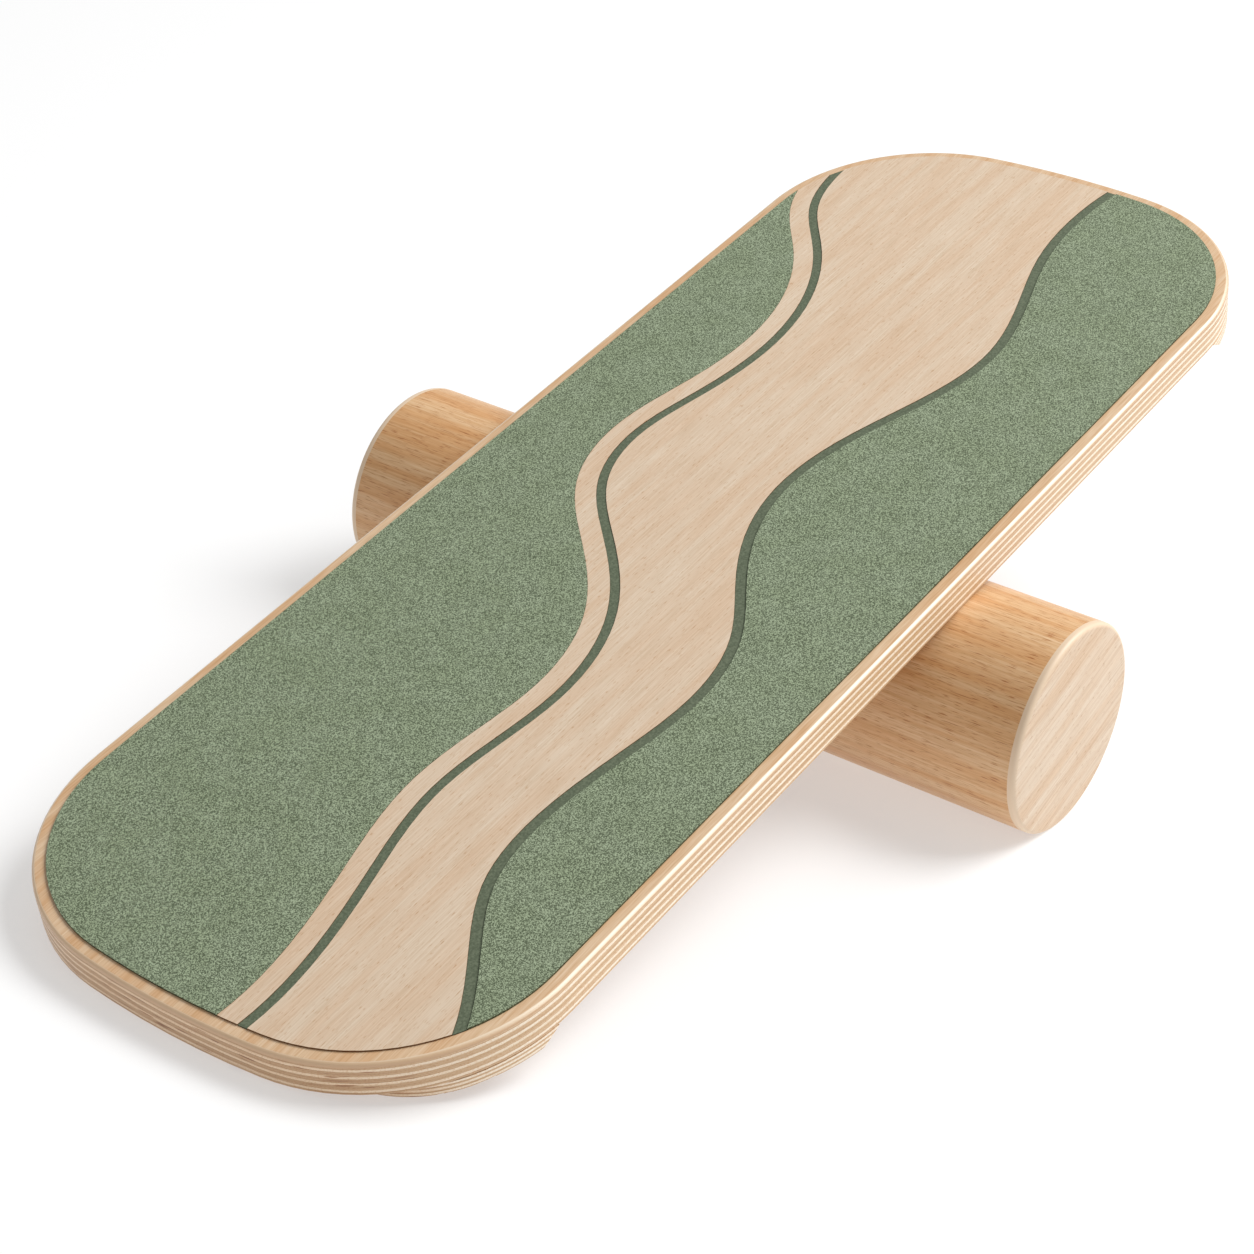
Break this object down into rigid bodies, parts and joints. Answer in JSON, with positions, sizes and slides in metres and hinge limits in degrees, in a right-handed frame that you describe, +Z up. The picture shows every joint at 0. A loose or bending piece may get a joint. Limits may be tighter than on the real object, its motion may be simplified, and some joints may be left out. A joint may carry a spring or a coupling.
{
  "type": "roller balance board",
  "caption": "Plywood deck with bowed ends, a wavy inlaid veneer and grip-pad top, and stops under its ends, seesawing over a loose wooden roller.",
  "frame": {"origin": "on the floor, under the middle of the whole object's box", "axes": "+X along the deck towards its raised end, +Y along the roller, +Z up"},
  "size_m": [0.7482, 0.42, 0.2164],
  "materials": {
    "face_veneer": "satin",
    "ply_light": "satin",
    "ply_dark": "satin",
    "pale_veneer": "matte",
    "grip_pad": "matte",
    "stripe": "matte",
    "roller_beech": "satin",
    "cap_beech": "satin",
    "screw_steel": "satin"
  },
  "bodies": {
    "roller": {"roller_tube": "roller_beech", "roller_cap_left": "cap_beech", "roller_cap_right": "cap_beech"},
    "deck": {"core_ply_1": "ply_dark", "core_ply_2": "ply_light", "core_ply_3": "ply_dark", "core_ply_4": "ply_light", "core_ply_5": "ply_dark", "core_ply_6": "ply_light", "core_ply_7": "ply_dark", "core_ply_8": "ply_light", "core_ply_9": "ply_dark", "face_ply": "face_veneer", "near_stop_ply_1": "ply_dark", "near_stop_ply_2": "ply_light", "near_stop_ply_3": "ply_dark", "near_stop_ply_4": "ply_light", "near_stop_ply_5": "ply_dark", "near_stop_ply_6": "ply_light", "far_stop_ply_1": "ply_dark", "far_stop_ply_2": "ply_light", "far_stop_ply_3": "ply_dark", "far_stop_ply_4": "ply_light", "far_stop_ply_5": "ply_dark", "far_stop_ply_6": "ply_light", "left_grip_pad": "grip_pad", "veneer_strip": "pale_veneer", "narrow_stripe": "stripe", "veneer_river": "pale_veneer", "border_stripe": "stripe", "right_grip_pad": "grip_pad", "near_stop_screws": "screw_steel", "far_stop_screws": "screw_steel"}
  },
  "joints": [
    {"name": "deck_tilt", "type": "hinge", "parent": "roller", "child": "deck", "pos_m": [0.04989, 0, 0.055], "axis": [0, 1, 0], "range_deg": [0, 32.83]}
  ]
}
